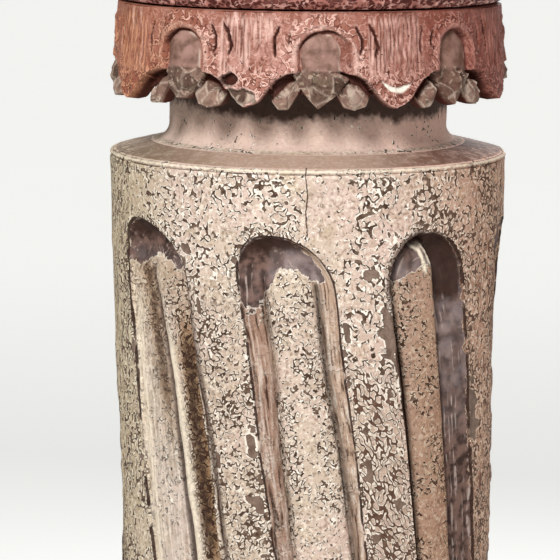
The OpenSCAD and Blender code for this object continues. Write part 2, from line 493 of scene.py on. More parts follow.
def cream_marks(f):
    """Curled marks in the paint: where it is lost, and its raised lip. They are finer in the
    flutes, and become short slanting strokes where the paint has crept."""
    crowd = f.noise(26, 2.5, 5).rise(0.36, 0.62, 0.18, 0.88)
    crowd = crowd + f.wear * 0.48 + f.right_warm_shade * 0.2 - f.calm
    marks = Crackle(f, 3.9, crowd, 3)
    if not f.fluted:
        return marks.lost, marks.lip
    small = Crackle(f, 2.8, crowd, 3)
    finer = f.highest(f.from_middle.rise(27.5, 25.5), f.wear.rise(0.4, 0.6))
    slanted = f.turned_about_y(f.warped(6, 3.5, 97), 32)
    strokes = abs(f.noise(2.3, 0.3, 98, slanted, (1, 1, 2.3)) - 0.5)
    beyond = strokes - f.noise(9, 2, 96).rise(0.35, 0.65, 0.045, 0.095)
    lost = blend(finer, marks.lost, small.lost)
    lip = blend(finer, marks.lip, small.lip)
    return (blend(f.crept, lost, beyond.rise(0.008, -0.008)),
            blend(f.crept, lip, beyond.rise(0.09, 0.04)))


def cream_chips(f):
    """Flaked patches of paint: where they are, and their raised lip."""
    field = f.noise(11, 4, 11) + f.wear * 0.11 - f.calm * 0.1
    patches = f.attribute("lost")
    chips = f.highest(field.rise(0.715, 0.725), patches.rise(0.5, 0.54))
    lip = f.highest(field.rise(0.66, 0.7), patches.rise(0.15, 0.4))
    return chips, lip * (1 - chips)


def sound_cream(f):
    """Colour of sound paint: patches of cream, painted warm brown to the right and olive to the left as
    shade.
    """
    paint = f.mix(f.noise(42, 3, 2).rise(0.35, 0.65), (208, 189, 169), (216, 192, 178))
    paint = f.mix(f.noise(8, 4, 8).rise(0.42, 0.8), paint, (188, 168, 148))
    paint = f.mix(f.noise(17, 3, 71).rise(0.56, 0.72, 0.0, 0.55), paint, (196, 176, 146))
    paint = f.mix(f.across.rise(0, 45, 0.0, 0.3), paint, (216, 178, 164))
    paint = f.mix(f.right_warm_shade * 0.8, paint, (194, 144, 115))
    paint = f.mix(f.right_warm_shade * f.noise(10, 3, 74).rise(0.52, 0.66) * 0.6, paint, (132, 86, 66))
    paint = f.mix(f.left_olive_shade * 0.75, paint, (190, 171, 136))
    return weathered(f, calm_cream(f, paint))


def calm_cream(f, paint):
    """Smoother paint on the neck, painted lighter towards each side as light, and dust on the sloping
    shoulder, painted darker towards each side as shade.
    """
    # Neck paint, painted lighter towards the right and the left as light
    neck = f.mix(f.across.rise(20, 80), (216, 187, 173), (250, 208, 190))
    neck = f.mix(f.across.rise(-30, -80), neck, (236, 208, 192))
    paint = f.mix(f.calm.rise(0.3, 0.65, 0.0, 0.85), paint, neck)
    # Dust, painted darker towards the right and the left as shade
    dust_and_shade = f.mix(f.across.rise(15, 90), (194, 164, 144), (106, 66, 50))
    dust_and_shade = f.mix(f.across.rise(-30, -100), dust_and_shade, (140, 118, 96))
    return f.mix(f.calm.rise(0.75, 0.95) * f.noise(9, 4, 73).rise(0.2, 0.6, 0.6, 1.0), paint, dust_and_shade)


def weathered(f, paint):
    """Fine ripples, painted darker in their low places and lighter on their high ones as shade and
    highlight, and upright fibres at the left and right edges.
    """
    busy = 1 - f.calm.rise(0.2, 0.6, 0.0, 0.7)
    paint = f.mix(busy * f.ripples.rise(0.45, 0.33, 0.0, 0.7), paint, (146, 122, 102))
    paint = f.mix(busy * f.ripples.rise(0.56, 0.66, 0.0, 0.75), paint, (240, 226, 208))
    fibres = f.noise(3.1, 2.5, 88, f.warped(9, 6, 87), (1, 1, 3.5))
    edges = f.highest(f.across.rise(92, 108), f.across.rise(-98, -110))
    rightness = f.across.rise(-20, 20)
    dark = f.mix(rightness, (76, 58, 36), (98, 54, 36))
    light = f.mix(rightness, (222, 208, 174), (236, 192, 160))
    paint = f.mix(edges * fibres.rise(0.47, 0.36, 0.0, 0.9), paint, dark)
    return f.mix(edges * fibres.rise(0.57, 0.67, 0.0, 0.7), paint, light)


def worn_sides(f, colour):
    """The sides beside a reed, worn to streaks, a soft shade in the groove, and old stains."""
    walls = f.attribute("walls")
    dark_line = f.mix(walls, (52, 32, 26), (96, 70, 54))
    ground = f.mix(walls, (126, 80, 66), (208, 180, 156))
    ground = f.mix(walls.rise(0.85, 1.0), ground, (184, 177, 169))
    bright_line = f.mix(walls, (168, 134, 120), (246, 232, 216))
    worn = f.mix(f.streaks.rise(0.35, 0.46), dark_line, ground)
    worn = f.mix(f.streaks.rise(0.5, 0.64), worn, bright_line)
    sides = f.off_crease.rise(0.6, 2.0) * f.from_middle.rise(28.6, 27.8)
    grain = f.attribute("streaky") * f.noise(11, 3, 29).rise(0.3, 0.6, 0.5, 1.0)
    colour = f.mix(sides * grain, colour, worn)
    painted_shade = abs(f.off_crease - 1.0).rise(4.2, 1.0, 0.0, 0.75)
    colour = f.mix(painted_shade * f.groove * f.below_arch, colour, (96, 80, 66))
    stain = f.mix(f.noise(9, 4, 81, f.along, (1, 1, 5)), (150, 122, 92), (208, 186, 160))
    return f.mix(f.attribute("stain"), colour, stain, "MULTIPLY"), f.streaks * sides * 2.2


def bare_wood(f):
    """Smooth bare wood: grey, and in the flutes brown and darker in places, partly as painted shade,
    with pale streaks of rubbed wood and a painted highlight.
    """
    wood = f.mix(f.noise(8, 3, 17).rise(0.36, 0.64), (102, 86, 83), (158, 142, 140))
    if not f.fluted:
        return wood
    brown = f.mix(f.noise(6, 4, 18).rise(0.36, 0.64), (56, 40, 35), (118, 92, 82))
    wood = f.mix(f.attribute("gloom"), wood, brown)
    # Pale streaks along the arch: rubbed wood and a painted highlight
    rubbed_and_highlit = f.streaks.rise(0.54, 0.66) * f.noise(7, 2, 92).rise(0.42, 0.58)
    return f.mix(rubbed_and_highlit * 0.7, wood, (190, 170, 160))


def cream_grime_and_shade(f):
    """Where dirt and painted shade lie: as the numbers say and, on the shaft, darker along each arris,
    painted shade in each groove and dirt in a hairline check below the rim."""
    dirt_and_shade = f.attribute("dirt_and_shade") + f.uneven(3.5, 3, 41, 0.6)
    if not f.fluted:
        return dirt_and_shade
    arris = abs(f.from_middle - ARRIS).rise(0.95, 0.3) * f.noise(14, 3, 43).rise(0.34, 0.5)
    crease = abs(f.off_crease).rise(1.7, 0.5) * f.noise(40, 3, 53).rise(0.35, 0.6, 0.45, 1.0)
    crease = crease * f.groove * f.below_arch
    check = abs(f.across + 0.5 + f.uneven(9, 3, 77, 5)).rise(0.6, 0.2)
    check = check * f.coordinate("Y").rise(-112, -117)
    check = check * f.coordinate("Z").rise(SHOULDER_Z - 40, SHOULDER_Z - 36)
    return f.highest(dirt_and_shade, arris * 0.95, crease * 0.95, check * 0.8)


def cream_paint(name, fluted=False):
    """Cream paint, worn through to grey-brown wood."""
    f = CreamFinish(name, fluted)
    marks, marks_lip = cream_marks(f)
    chips, chips_lip = cream_chips(f)
    lip = f.highest(marks_lip, chips_lip)
    under = f.mix(f.noise(3.2, 3, 13).rise(0.3, 0.7), (66, 46, 34), (122, 100, 84))
    under = f.mix(f.right_warm_shade * 0.5, under, (104, 70, 54))
    if fluted:
        under = f.mix(f.crept * 0.45, under, (112, 80, 66))
    patch = f.mix(f.noise(6, 3, 93).rise(0.3, 0.7), (108, 88, 76), (142, 120, 106))
    colour = f.mix(lip * 0.9, sound_cream(f), f.pale)
    colour = f.mix(marks, colour, under)
    colour = f.mix(chips, colour, patch)
    height = ((1 - f.highest(marks, chips)) * 0.8 + lip * 0.4
              + f.noise(2.2, 3, 23) * 0.3 + f.ripples * 0.9)
    if fluted:
        colour, grain = worn_sides(f, colour)
        height = height + grain

    ragged = f.attribute("bare") + f.uneven(5, 4, 19, 1.5)
    naked = ragged.rise(0.5, 0.56)
    colour = f.mix(ragged.rise(0.4, 0.49) * (1 - naked) * 0.6, colour, f.pale)
    colour = f.mix(naked, colour, bare_wood(f))
    if fluted:
        # Painted shadow on the side just beyond each groove, where the reed shades it
        deep = f.off_crease.rise(6.0, 2.0) * f.off_crease.rise(-1.0, 0.0)
        deep = deep * f.groove ** 3.0 * f.below_arch
        colour = f.mix(deep * 0.85, colour, (66, 44, 37))
    level = [0.45, 0.45, 0.45, 1]
    height = f.mix(naked, height, level)
    # Pale lines: a painted highlight on the rim bead and the left flute's ridge and strip, and pale
    # paint with a painted highlight on the right reed's threads
    colour = f.mix(f.attribute("rim") * f.noise(6, 3, 57).rise(0.25, 0.45), colour, (252, 236, 212))
    # Darkens the paint where dirt lies and where shade is painted
    grime_and_shade = f.mix(f.noise(5, 3, 37), (34, 18, 13), (68, 45, 36))
    colour = f.mix(cream_grime_and_shade(f).rise(0.3, 0.85, 0.0, 0.94), colour, grime_and_shade)
    return f.finish(colour, height, 0.6)


# ---------------------------------------------------------------- red paints

def carved_wood(f, green, painted_shade, worms):
    """Bare wood in the leaves: brown-grey, with chipped faces that are greenish in places, and painted
    darker towards the right as shade.
    """
    wood = f.mix(f.noise(7, 4, 33).rise(0.32, 0.68), (108, 80, 67), (166, 130, 118))
    faces = f.mix(f.attribute("tone"), (84, 62, 52), (150, 120, 105))
    faces = f.mix(f.noise(7, 3, 34).rise(0.5, 0.72, 0.0, 0.5), faces, (108, 100, 78))
    faces = f.mix(worms.rise(0.48, 0.38, 0.0, 0.45), faces, (70, 50, 40))
    faces = f.mix(worms.rise(0.6, 0.68, 0.0, 0.6), faces, (190, 168, 148))
    return f.mix(painted_shade * 0.45, f.mix(green, wood, faces), (104, 66, 54))


def salmon_paint(name):
    """Thick salmon paint over dark red-brown, with carving left bare and grey."""
    f = Finish(name, 0.6)
    crust = f.attribute("crust")
    green = f.attribute("green")
    rubbed_and_highlit = f.attribute("rubbed_and_highlit")
    comb = f.attribute("comb")
    across = f.coordinate("X")
    # Painted shade, darker towards the right side
    painted_shade = across.rise(5, 106)
    orange = across.rise(-45, -108)
    marks = Crackle(f, 3.2, f.noise(16, 2, 5).rise(0.38, 0.62, -0.7, -0.2) + crust * 0.5, 9)
    worms = f.noise(3.6, 1.0, 64, f.warped(6, 7, 63))
    combed = f.noise(3.0, 2, 66, f.warped(12, 4, 67), (1, 1, 7))

    paint = f.mix(f.noise(24, 3, 4).rise(0.36, 0.64), (162, 106, 90), (190, 140, 126))
    paint = f.mix(f.noise(6, 3, 15).rise(0.42, 0.72), paint, (142, 86, 70))
    paint = f.mix(orange * 0.7, paint, (150, 86, 60))
    paint = f.mix(painted_shade * 0.82, paint, (112, 52, 42))
    paint = f.mix(comb * combed.rise(0.47, 0.36, 0.0, 0.7), paint, (104, 56, 44))
    light_line = f.mix(painted_shade, (236, 194, 182), (178, 120, 106))
    paint = f.mix(comb * combed.rise(0.57, 0.68, 0.0, 0.75), paint, light_line)

    pale = f.mix(painted_shade, (246, 208, 194), (190, 132, 118))
    pale = f.mix(orange, pale, (226, 168, 130))
    under = f.mix(f.noise(3, 3, 21), (62, 26, 19), (100, 54, 43))
    on_ropes = crust * (worms.rise(0.51, 0.54) * worms.rise(0.62, 0.57))
    between_ropes = crust * abs(worms - 0.465).rise(0.04, 0.018)
    colour = f.mix(between_ropes * 0.85, paint, under)
    # Raised mark edges, rope tops and rubbed edges painted pale: worn paint and a painted highlight
    colour = f.mix(f.highest(marks.lip, on_ropes, rubbed_and_highlit) * 0.75, colour, pale)
    colour = f.mix(marks.lost, colour, under)
    height = ((1 - marks.lost) * 0.5 + f.highest(crust, green) * worms * 2.4
              + comb * combed * 2.0 + f.noise(2, 3, 25) * 0.5)

    naked = (f.attribute("bare") + f.uneven(3, 3, 27, 0.5)).rise(0.42, 0.58)
    colour = f.mix(naked, colour, carved_wood(f, green, painted_shade, worms))
    # Edges of bare wood painted pale: rubbed wood and a painted highlight
    colour = f.mix(naked * rubbed_and_highlit, colour, (222, 202, 184))
    # Painted shade in the hollows, cavities, cuts and underside of the collar
    grime_and_shade = f.mix(f.noise(4, 3, 35), (46, 16, 10), (82, 40, 30))
    colour = f.mix(f.attribute("dirt_and_shade").rise(0.2, 0.8, 0.0, 0.95), colour, grime_and_shade)
    colour = f.mix(f.attribute("chalk"), colour, (240, 232, 218))
    return f.finish(colour, height, 0.8)


def salmon_plain(name):
    """Salmon paint for turned fillets, which carry no carving."""
    f = Finish(name, 0.62)
    marks = Crackle(f, 4.2, f.noise(22, 2, 5).rise(0.38, 0.62, 0.2, 0.75), 9)
    paint = f.mix(f.noise(24, 3, 4).rise(0.36, 0.64), (178, 128, 113), (194, 148, 134))
    # Raised edges painted pale: chalky paint and a painted highlight
    colour = f.mix(marks.lip * 0.6, paint, (232, 194, 180))
    colour = f.mix(marks.lost, colour, f.mix(f.noise(3, 3, 21), (78, 40, 30), (112, 66, 52)))
    return f.finish(colour, (1 - marks.lost) * 0.7 + f.noise(2, 3, 25) * 0.5, 0.5)


def dark_red_paint(name):
    """Thick paint that dried in ropes: dark red between them, pale pink on top as rubbed paint and a
    painted highlight, and painted darker to the right as shade.
    """
    f = Finish(name, 0.48)
    net = f.cells(5.0, f.warped(6, 10, 51), 52)
    rope = (net + f.uneven(3, 2, 54, 0.9)).rise(0.22, 0.06)
    paint = f.mix(f.noise(8, 3, 4), (150, 88, 78), (190, 132, 120))
    # Painted shade, darker towards the right side
    paint = f.mix(f.coordinate("X").rise(30, 118, 0.0, 0.6), paint, (124, 66, 56))
    between = f.mix(f.noise(5, 3, 14), (56, 16, 10), (104, 46, 38))
    on_top = f.highest(rope, f.attribute("high").rise(0.6, 1.0) * 0.25)
    colour = f.mix(on_top, between, paint)
    # Pale pink on the rope tops: rubbed paint and a painted highlight
    rubbed_and_highlit = rope.rise(0.75, 1.0) * f.noise(7, 2, 61).rise(0.42, 0.6)
    colour = f.mix(rubbed_and_highlit * 0.75, colour, (228, 178, 166))
    return f.finish(colour, rope * 1.0 + f.noise(1.6, 3, 22) * 0.25, 1.3)


def deep_grime(name):
    """Old dirt in a joint that light hardly reaches."""
    f = Finish(name, 0.9)
    return f.finish(f.mix(f.noise(5, 3), (38, 14, 10), (66, 32, 26)), f.noise(2, 2), 0.3)


# ---------------------------------------------------------------- shaft

def flute_cut(distance, off_crease, off_reed, in_arch):
    """Depth of a flute: a crowned reed, a groove beside it, and a side up to the arris, which fill
    out to a bowl under an arch. off_crease is the distance beyond the groove, and off_reed goes
    from 0 at the crown of the reed to 1 at the groove."""
    bevel_start = ARRIS - ARRIS_BEVEL
    crease = np.maximum(distance - off_crease, 1)
    reed = 3.5 + 3.6 * np.clip(off_reed, 0, 1) ** 2.4
    up_side = np.clip(off_crease / np.maximum(bevel_start - crease, 0.5), 0, 1)
    side = 8.8 - 5.8 * up_side
    cut = np.where(off_crease < 0, reed, side) + 3.4 * bell(off_crease, 0, 2.2)
    bowl = np.interp(distance, [0, 6, 12, 17, 21, bevel_start], [4.6, 5.4, 7.2, 8.4, 8.6, 3.4])
    return np.clip((ARRIS - distance) / ARRIS_BEVEL, 0, 1) * blend(in_arch, cut, bowl)


def flute_columns():
    """Flute of each column round the shaft, and how far right of its middle the column is."""
    inside = np.linspace(-ARRIS, ARRIS, 39)
    land = np.linspace(ARRIS, HALF_PITCH, 5)[1:]
    sides = np.concatenate([-land[-2::-1], inside, land])
    return np.repeat(np.arange(FLUTES), len(sides))[None, :], np.tile(sides, FLUTES)[None, :]


def of_flute(key, flute):
    return np.array(FLUTE_TABLE[key])[flute]


def shaft_azimuth(flute, side, drop):
    """Azimuth of a place in a flute. The shift of the flute's middle fades out on the lands."""
    moved = side + of_flute("shift", flute) * smooth(HALF_PITCH, ARRIS, np.abs(side))
    return FLUTE_AZIMUTH + flute * 360 / FLUTES + np.degrees(moved / SHOULDER_R) + TWIST * drop


def shaft_drops():
    """Drops of the shaft's rings: close where the carving shows best, wider further down."""
    fine_end, foot = 252, FOOT_ARCH - ARCH_RISE
    fine = np.arange(4, fine_end, 1.72)
    wide = np.linspace(fine_end, foot, 58)[1:]
    end = np.linspace(foot, FOOT_ARCH + 3, 14)[1:]
    return np.concatenate([fine, wide, end, [SHAFT_LENGTH - 20, SHAFT_LENGTH - 1, SHAFT_LENGTH]])


class Fluting:
    """Where each point of the shaft's side lies in its flute, and how deep it is cut."""

    def __init__(self, drops):
        self.lattice = Lattice(7)
        self.flute, self.side = flute_columns()
        self.drop = drops[:, None]
        self.left, self.middle, self.right = (self.flute == each for each in (LEFT, MIDDLE, RIGHT))
        self.azimuth = shaft_azimuth(self.flute, self.side, self.drop)
        self.plain_r = SHOULDER_R + (FOOT_R - SHOULDER_R) * self.drop / SHAFT_LENGTH
        self.surface = around(self.azimuth, self.plain_r, SHOULDER_Z - self.drop)
        self.from_arch = self.drop - self.of("arch")
        into_end = np.maximum(ARCH_RISE - self.from_arch, self.drop - FOOT_ARCH + ARCH_RISE)
        into_end = np.clip(into_end / ARCH_RISE, 0, None)
        self.distance = self.from_middle(into_end)
        self.find_groove(into_end)
        self.in_flute = smooth(ARRIS + 0.5, ARRIS - 1.5, self.distance)
        self.in_arch = np.where(self.right, 0, 0.97) * smooth(0.05, 0.4, into_end)
        # The right side of the right flute, which lies in shade: cut deeper, and painted dark as shade
        self.shaded_side = self.right * smooth(0, 8, self.side) * smooth(70, 44, self.from_arch)
        self.find_zones()

    def of(self, key):
        return of_flute(key, self.flute)

    def sided(self, key):
        """Number of a flute that differs between its left and its right side."""
        return blend(self.rightness, self.of(key + "_left"), self.of(key + "_right"))

    def from_middle(self, into_end):
        """Distance from the middle line of the flute, which ends in a rounded arch."""
        path = np.broadcast_arrays(self.flute * 77.7, np.sign(self.side) * 5.0, self.drop)
        path = np.stack(path, axis=-1)
        sway = 0.7 * self.lattice(path, 55) + 0.45 * self.lattice(path, 17)
        across = np.abs(self.side - self.of("lean") * into_end ** 2)
        distance = (across ** ARCH_POWER + (ARRIS * into_end) ** ARCH_POWER) ** (1 / ARCH_POWER)
        return np.maximum(distance - sway + 0.35 * self.lattice(self.surface, 6), 0)

    def find_groove(self, into_end):
        """The groove on each side of the reed. The left reed slides to the right further down,
        and the other two front ones change their width."""
        drop, side = self.drop, self.side
        self.slide = self.left * np.interp(drop, [45, 80, 140, 220, 500, 700], [0, 8, 13, 15, 15, 0])
        off_crown = self.distance + np.abs(side - self.slide) - np.abs(side)
        middle_of_reed = self.slide + 6 * self.right * smooth(0, 0.5, into_end)
        self.rightness = smooth(-10, 10, side - middle_of_reed)
        wider = smooth(80, 240, drop) * smooth(700, 400, drop) * self.middle * (2.5 + 2 * self.rightness)
        wider = wider - 4.6 * smooth(68, 120, drop) * self.right * (1 - self.rightness)
        crease = self.sided("reach") + wider
        self.off_crease = off_crown - crease
        self.off_reed = off_crown / crease

    def find_zones(self):
        """Zones of other paint: flaked and stained on the right side of the left flute, stroked
        with dirt on its left, cracked on the lands beside the middle flute, crept on the right land."""
        side, drop = self.side, self.drop
        self.flaked = self.left * bell(side, 20, 12) * smooth(72, 115, drop) * smooth(265, 210, drop)
        self.stroked = self.left * bell(side, self.slide - 19, 11)
        self.stroked = self.stroked * smooth(52, 66, drop) * smooth(190, 130, drop)
        to_right, to_left = smooth(ARRIS, ARRIS + 6, side), smooth(-ARRIS, -ARRIS - 6, side)
        right_land = (self.middle * to_right + self.right * to_left) * smooth(85, 150, drop)
        left_land = 0.8 * (self.left * to_right + self.middle * to_left) * smooth(50, 90, drop)
        self.cracked = np.maximum(right_land, left_land) * smooth(420, 260, drop)
        self.crept = self.cracked * np.where(self.middle, side > 0, self.right)

    def cut(self):
        dark_step = 4 * self.shaded_side * smooth(0, 2.5, self.off_crease)
        dark_step = dark_step * smooth(ARRIS, ARRIS - 3, self.distance)
        return flute_cut(self.distance, self.off_crease, self.off_reed, self.in_arch) + dark_step

    def wear(self):
        """Wear along the arrises, the rim and the zones, and none on the sound reeds."""
        wear = highest(bell(self.distance, ARRIS + 2, 5), 0.5 * bell(self.drop, 4, 5),
                       0.95 * self.flaked, 0.8 * self.cracked)
        sound = self.right * smooth(48, 60, self.drop)
        sound = sound + self.left * smooth(12, 8, self.side) * smooth(60, 80, self.drop)
        wear = wear - np.where(self.right, 1.5, 2.2) * sound * smooth(0, -2, self.off_crease)
        return np.maximum(wear, 0.9 * self.stroked)

    def chips(self):
        ragged = 0.9 * self.lattice(self.surface, 4.5)
        chips = []
        for flute, side, drop, half_w, half_h in SHAFT_CHIPS:
            reach = np.hypot((self.side - side) / half_w, (self.drop - drop) / half_h) + ragged
            chips.append((self.flute == flute) * smooth(1.5, 0.8, reach))
        return highest(*chips)

    def bare(self):
        """Bare wood under the arches: on the reed, and further down on the sides."""
        side, from_arch = self.side, self.from_arch
        lower = np.where(self.middle, 1.3, 0.5) * np.clip(-4 - side, 0, 14)
        lower = lower + 0.5 * np.clip(side - 5, 0, 12)
        on_reed = smooth(26, 15, from_arch - lower) * smooth(10, 5, self.off_crease * (side > 0))
        lower = (15 * smooth(2, -6, side) + 250 * self.right * smooth(0, 8, side)
                 - 46 * self.middle * smooth(2, 9, side) - 20 * self.left)
        on_side = smooth(44, 16, from_arch - lower) * smooth(0, 3, self.off_crease)
        return self.in_flute * np.maximum(on_reed, 0.9 * on_side)

    def dirt_and_shade(self):
        """Painted shadow under the arches and down the shaded side, dirt in the zones, and darker at the
        foot.
        """
        from_arch = self.from_arch
        under_arch = 0.95 * smooth(19, 1, from_arch + 0.12 * self.side)
        dark = self.shaded_side * smooth(-1, 2, self.off_crease) * smooth(52, 34, from_arch)
        in_flute = highest(under_arch, dark, 0.74 * self.flaked, 0.6 * self.stroked) * self.in_flute
        return np.maximum(in_flute, 0.8 * bell(self.drop, SHAFT_LENGTH, 14))

    def stain(self):
        stain = self.of("stain") * self.in_flute + 0.9 * self.flaked
        stain = stain * np.where(self.left, self.rightness, 1)
        return highest(stain, 0.8 * self.stroked * self.in_flute, 0.25 * self.cracked)

    def walls(self):
        greyer = 0.2 * self.left * (1 - self.rightness) * smooth(130, 70, self.drop)
        return self.sided("walls") - greyer

    def gloom(self):
        # How brown and dark the bare wood is: brown wood, with painted shade near the arch tops, on the
        # left of the middle flute and low on the right flute
        gloom = self.of("gloom") + 0.75 * self.middle * smooth(-3, -14, self.side)
        gloom = gloom + 0.5 * smooth(22, 4, self.from_arch)
        return np.clip(gloom + 0.5 * self.right * smooth(110, 180, self.drop), 0, 1)

    def pale_lines(self):
        """Threads of pale paint with a painted highlight on the right reed, and a painted highlight on
        the ridge and outer strip of the left flute.
        """
        side, drop = self.side, self.drop
        threads = [1.7 * self.right * bell(to_line(side, drop, thread), 0, 1.8) for thread in THREADS]
        ridge = 0.95 * self.left * bell(side, self.slide - 5, 6.5) * smooth(84, 110, drop)
        strip = 0.6 * self.left * bell(side, -24, 4.5) * smooth(70, 90, drop) * smooth(600, 400, drop)
        return highest(*threads, ridge, strip)

    def calm(self):
        """Fewer marks on the right reed, beside the middle arch and on the left flute's pale side."""
        side, drop = self.side, self.drop
        reed = 0.25 * self.right * (self.off_crease < -1) * smooth(48, 60, drop)
        land = 0.28 * self.middle * smooth(8, 18, side) * smooth(95, 70, drop)
        pale_side = self.left * (1 - self.rightness) * smooth(1, 3, self.off_crease)
        pale_side = pale_side * smooth(110, 150, drop) * self.in_flute
        return highest(reed, land, 0.38 * pale_side)


def fluted_part():
    """Points and finish numbers of the shaft's side, one ring for each drop."""
    g = Fluting(shaft_drops())
    chips = g.chips()
    relief = 0.35 * g.lattice.layered(g.surface, 24, 2) + 0.16 * g.lattice.layered(g.surface, 5, 2)
    radius = g.plain_r - g.cut() * g.plain_r / SHOULDER_R + relief - 0.6 * chips
    numbers = {"wear": g.wear(), "bare": g.bare(), "dirt_and_shade": g.dirt_and_shade(), "stain": g.stain(),
               "from_middle": g.distance, "off_crease": g.off_crease, "in_arch": g.in_arch,
               "calm": g.calm(), "rim": g.pale_lines(), "lost": chips, "crept": g.crept,
               "walls": g.walls(), "streaky": g.sided("streaky"), "groove": g.sided("groove"),
               "gloom": g.gloom()}
    return around(g.azimuth, radius, SHOULDER_Z - g.drop), numbers


def neck_part():
    """Points and finish numbers of the neck, the sloping shoulder and its thin rim."""
    lattice = Lattice(8)
    outline = ([(87.5, SOFFIT_RISE), (85, 42), (NECK_R, 34), (NECK_R, 17.5)]
               + arc(94, 17.5, 10, 180, 262, 7)
               + [(117.4, 1.6), (118.2, 0.8), (118.8, 1.2), (119.6, 0.9), (120.2, 0.3),
                  (120.2, -0.6), (119.7, -1.2), (119.2, -1.7), (119.5, -2.2), (119.9, -2.8)])
    radius, rise = (column[:, None] for column in walk(outline, 1.7).T)
    azimuth = shaft_azimuth(*flute_columns(), 0)
    surface = around(azimuth, radius, SHOULDER_Z + rise)
    rim = smooth(117, 118.5, radius)
    relief = 0.22 * lattice.layered(surface, 14, 3) + 0.12 * lattice.layered(surface, 4, 2)
    nicks = rim * smooth(0.35, 0.7, lattice(surface, 7)) * 0.9
    groove = np.maximum(bell(radius, 118.1, 0.7) * (rise > 0), bell(rise, -1.6, 0.9))
    ragged = 1.2 * lattice(surface * [1, 1, 0.5], 2.4) + 2.2 * lattice(surface, 13)
    lit_side = 5 * smooth(-20, -60, (azimuth + 180) % 360 - 180)
    in_shade = smooth(16, 34, rise + ragged - lit_side)
    on_slope = smooth(92, 96, radius) * (1 - rim)
    # Painted shade in the grooves beside the rim bead and under the collar's hem, and a painted
    # highlight along the top of the bead
    numbers = {"dirt_and_shade": np.maximum(0.85 * groove * (0.75 + 0.4 * lattice(surface, 11)), in_shade),
               "calm": np.maximum(on_slope, 0.7 * smooth(92, 88, radius)),
               "rim": bell(rise, 0.5, 0.8) * (radius > 119), "from_middle": 60, "off_crease": 60}
    return around(azimuth, radius + relief - nicks, SHOULDER_Z + rise + 0.4 * relief), numbers


def make_shaft():
    mesh = ring_mesh("shaft_carved", *stacked([neck_part(), fluted_part()]))
    add_piece(mesh, "shaft", [cream_paint("cream_fluted", fluted=True)])


# ---------------------------------------------------------------- leaf collar

def edges_of(corners):
    """Pairs of neighbouring corners, all the way round."""
    return zip(corners, corners[1:] + corners[:1])


def pyramid(side, height, corners, peak):
    """1 at the peak of a many-sided pyramid on a convex outline, 0 on its outline, less outside."""
    ratio = 1
    for (x0, z0), (x1, z1) in edges_of(corners):
        away = (x1 - x0) * (height - z0) - (z1 - z0) * (side - x0)
        at_peak = (x1 - x0) * (peak[1] - z0) - (z1 - z0) * (peak[0] - x0)
        ratio = np.minimum(ratio, away / at_peak)
    return ratio


def lowest(side, corners):
    """Height of the lower side of an outline at places along the collar, 99 beside it."""
    low = np.full(side.shape, 99.0)
    for (x0, z0), (x1, z1) in edges_of(corners):
        first, last = min(x0, x1), max(x0, x1)
        if last > first:
            level = z0 + (z1 - z0) * (side - x0) / (x1 - x0)
            low = np.where((side >= first) & (side <= last), np.minimum(low, level), low)
    return low


def facets(side, height, leaf):
    """Chipped faces of bare wood: how far each sticks out, how light it is, and its edges."""
    draw = np.random.RandomState(5)
    count = 26
    seeds = draw.uniform((-32, -2), (32, 25), (count, 2))
    tilts = draw.uniform(-0.34, 0.34, (count, 2))
    tones = draw.uniform(0, 1, count)
    shifted = side + 5.3 * (leaf % 3) - 4
    reach = np.hypot(shifted[..., None] - seeds[:, 0], (height[..., None] - seeds[:, 1]) * 0.9)
    order = np.argsort(reach, axis=-1)
    nearest = order[..., 0]
    two = np.take_along_axis(reach, order[..., :2], axis=-1)
    tilt_side, tilt_up = tilts[nearest, 0], tilts[nearest, 1]
    out = (shifted - seeds[nearest, 0]) * tilt_side + (height - seeds[nearest, 1]) * tilt_up
    return out, tones[nearest], bell(two[..., 1] - two[..., 0], 0, 1.1)


class CollarColumns:
    """Azimuth of each column of the collar, with its place in its leaf."""

    def __init__(self, count):
        self.azimuth = (np.arange(count) * 360 / count)[None, :]
        off = (self.azimuth[0][:, None] - LEAF_AZIMUTHS[None, :] + 180) % 360 - 180
        self.leaf = np.abs(off).argmin(axis=1)[None, :]
        nearest = np.take_along_axis(off, self.leaf.T, axis=1)[:, 0]
        self.side = (np.radians(nearest) * SHOULDER_R)[None, :]
        gap_after = (np.roll(LEAF_AZIMUTHS, -1) - LEAF_AZIMUTHS) % 360
        gap_before = (LEAF_AZIMUTHS - np.roll(LEAF_AZIMUTHS, 1)) % 360
        gap = np.where(self.side > 0, gap_after[self.leaf], gap_before[self.leaf])
        self.away = np.abs(self.side) * (360 / len(LEAF_AZIMUTHS)) / gap
        path = np.stack([self.side, self.leaf * 31.0, 0 * self.side], axis=-1)
        self.petal = np.interp(self.away, *zip(*PETAL_EDGE)) + 0.9 * Lattice(12)(path, 6)

    def hem(self):
        """Height of the lower edge: tip, cavity, lobe, cavity, petal."""
        tip = np.where(self.leaf == LEFT_LEAF, lowest(self.side, SHORT_KITE), lowest(self.side, KITE))
        lobes = np.minimum(lowest(self.side, LOBE_LEFT), lowest(self.side, LOBE_RIGHT))
        edge = np.minimum(np.minimum(tip, lobes), np.minimum(self.petal, 8.5))
        return np.maximum(edge, 0.3)


def collar_plain(height):
    """Radius of the collar before carving: a straight flare with a kick at the hem."""
    share = 1 - np.clip(height / COLLAR_H, 0, 1)
    return COLLAR_TOP_R + (COLLAR_HEM_R - COLLAR_TOP_R) * (0.72 * share + 0.28 * share ** 4)


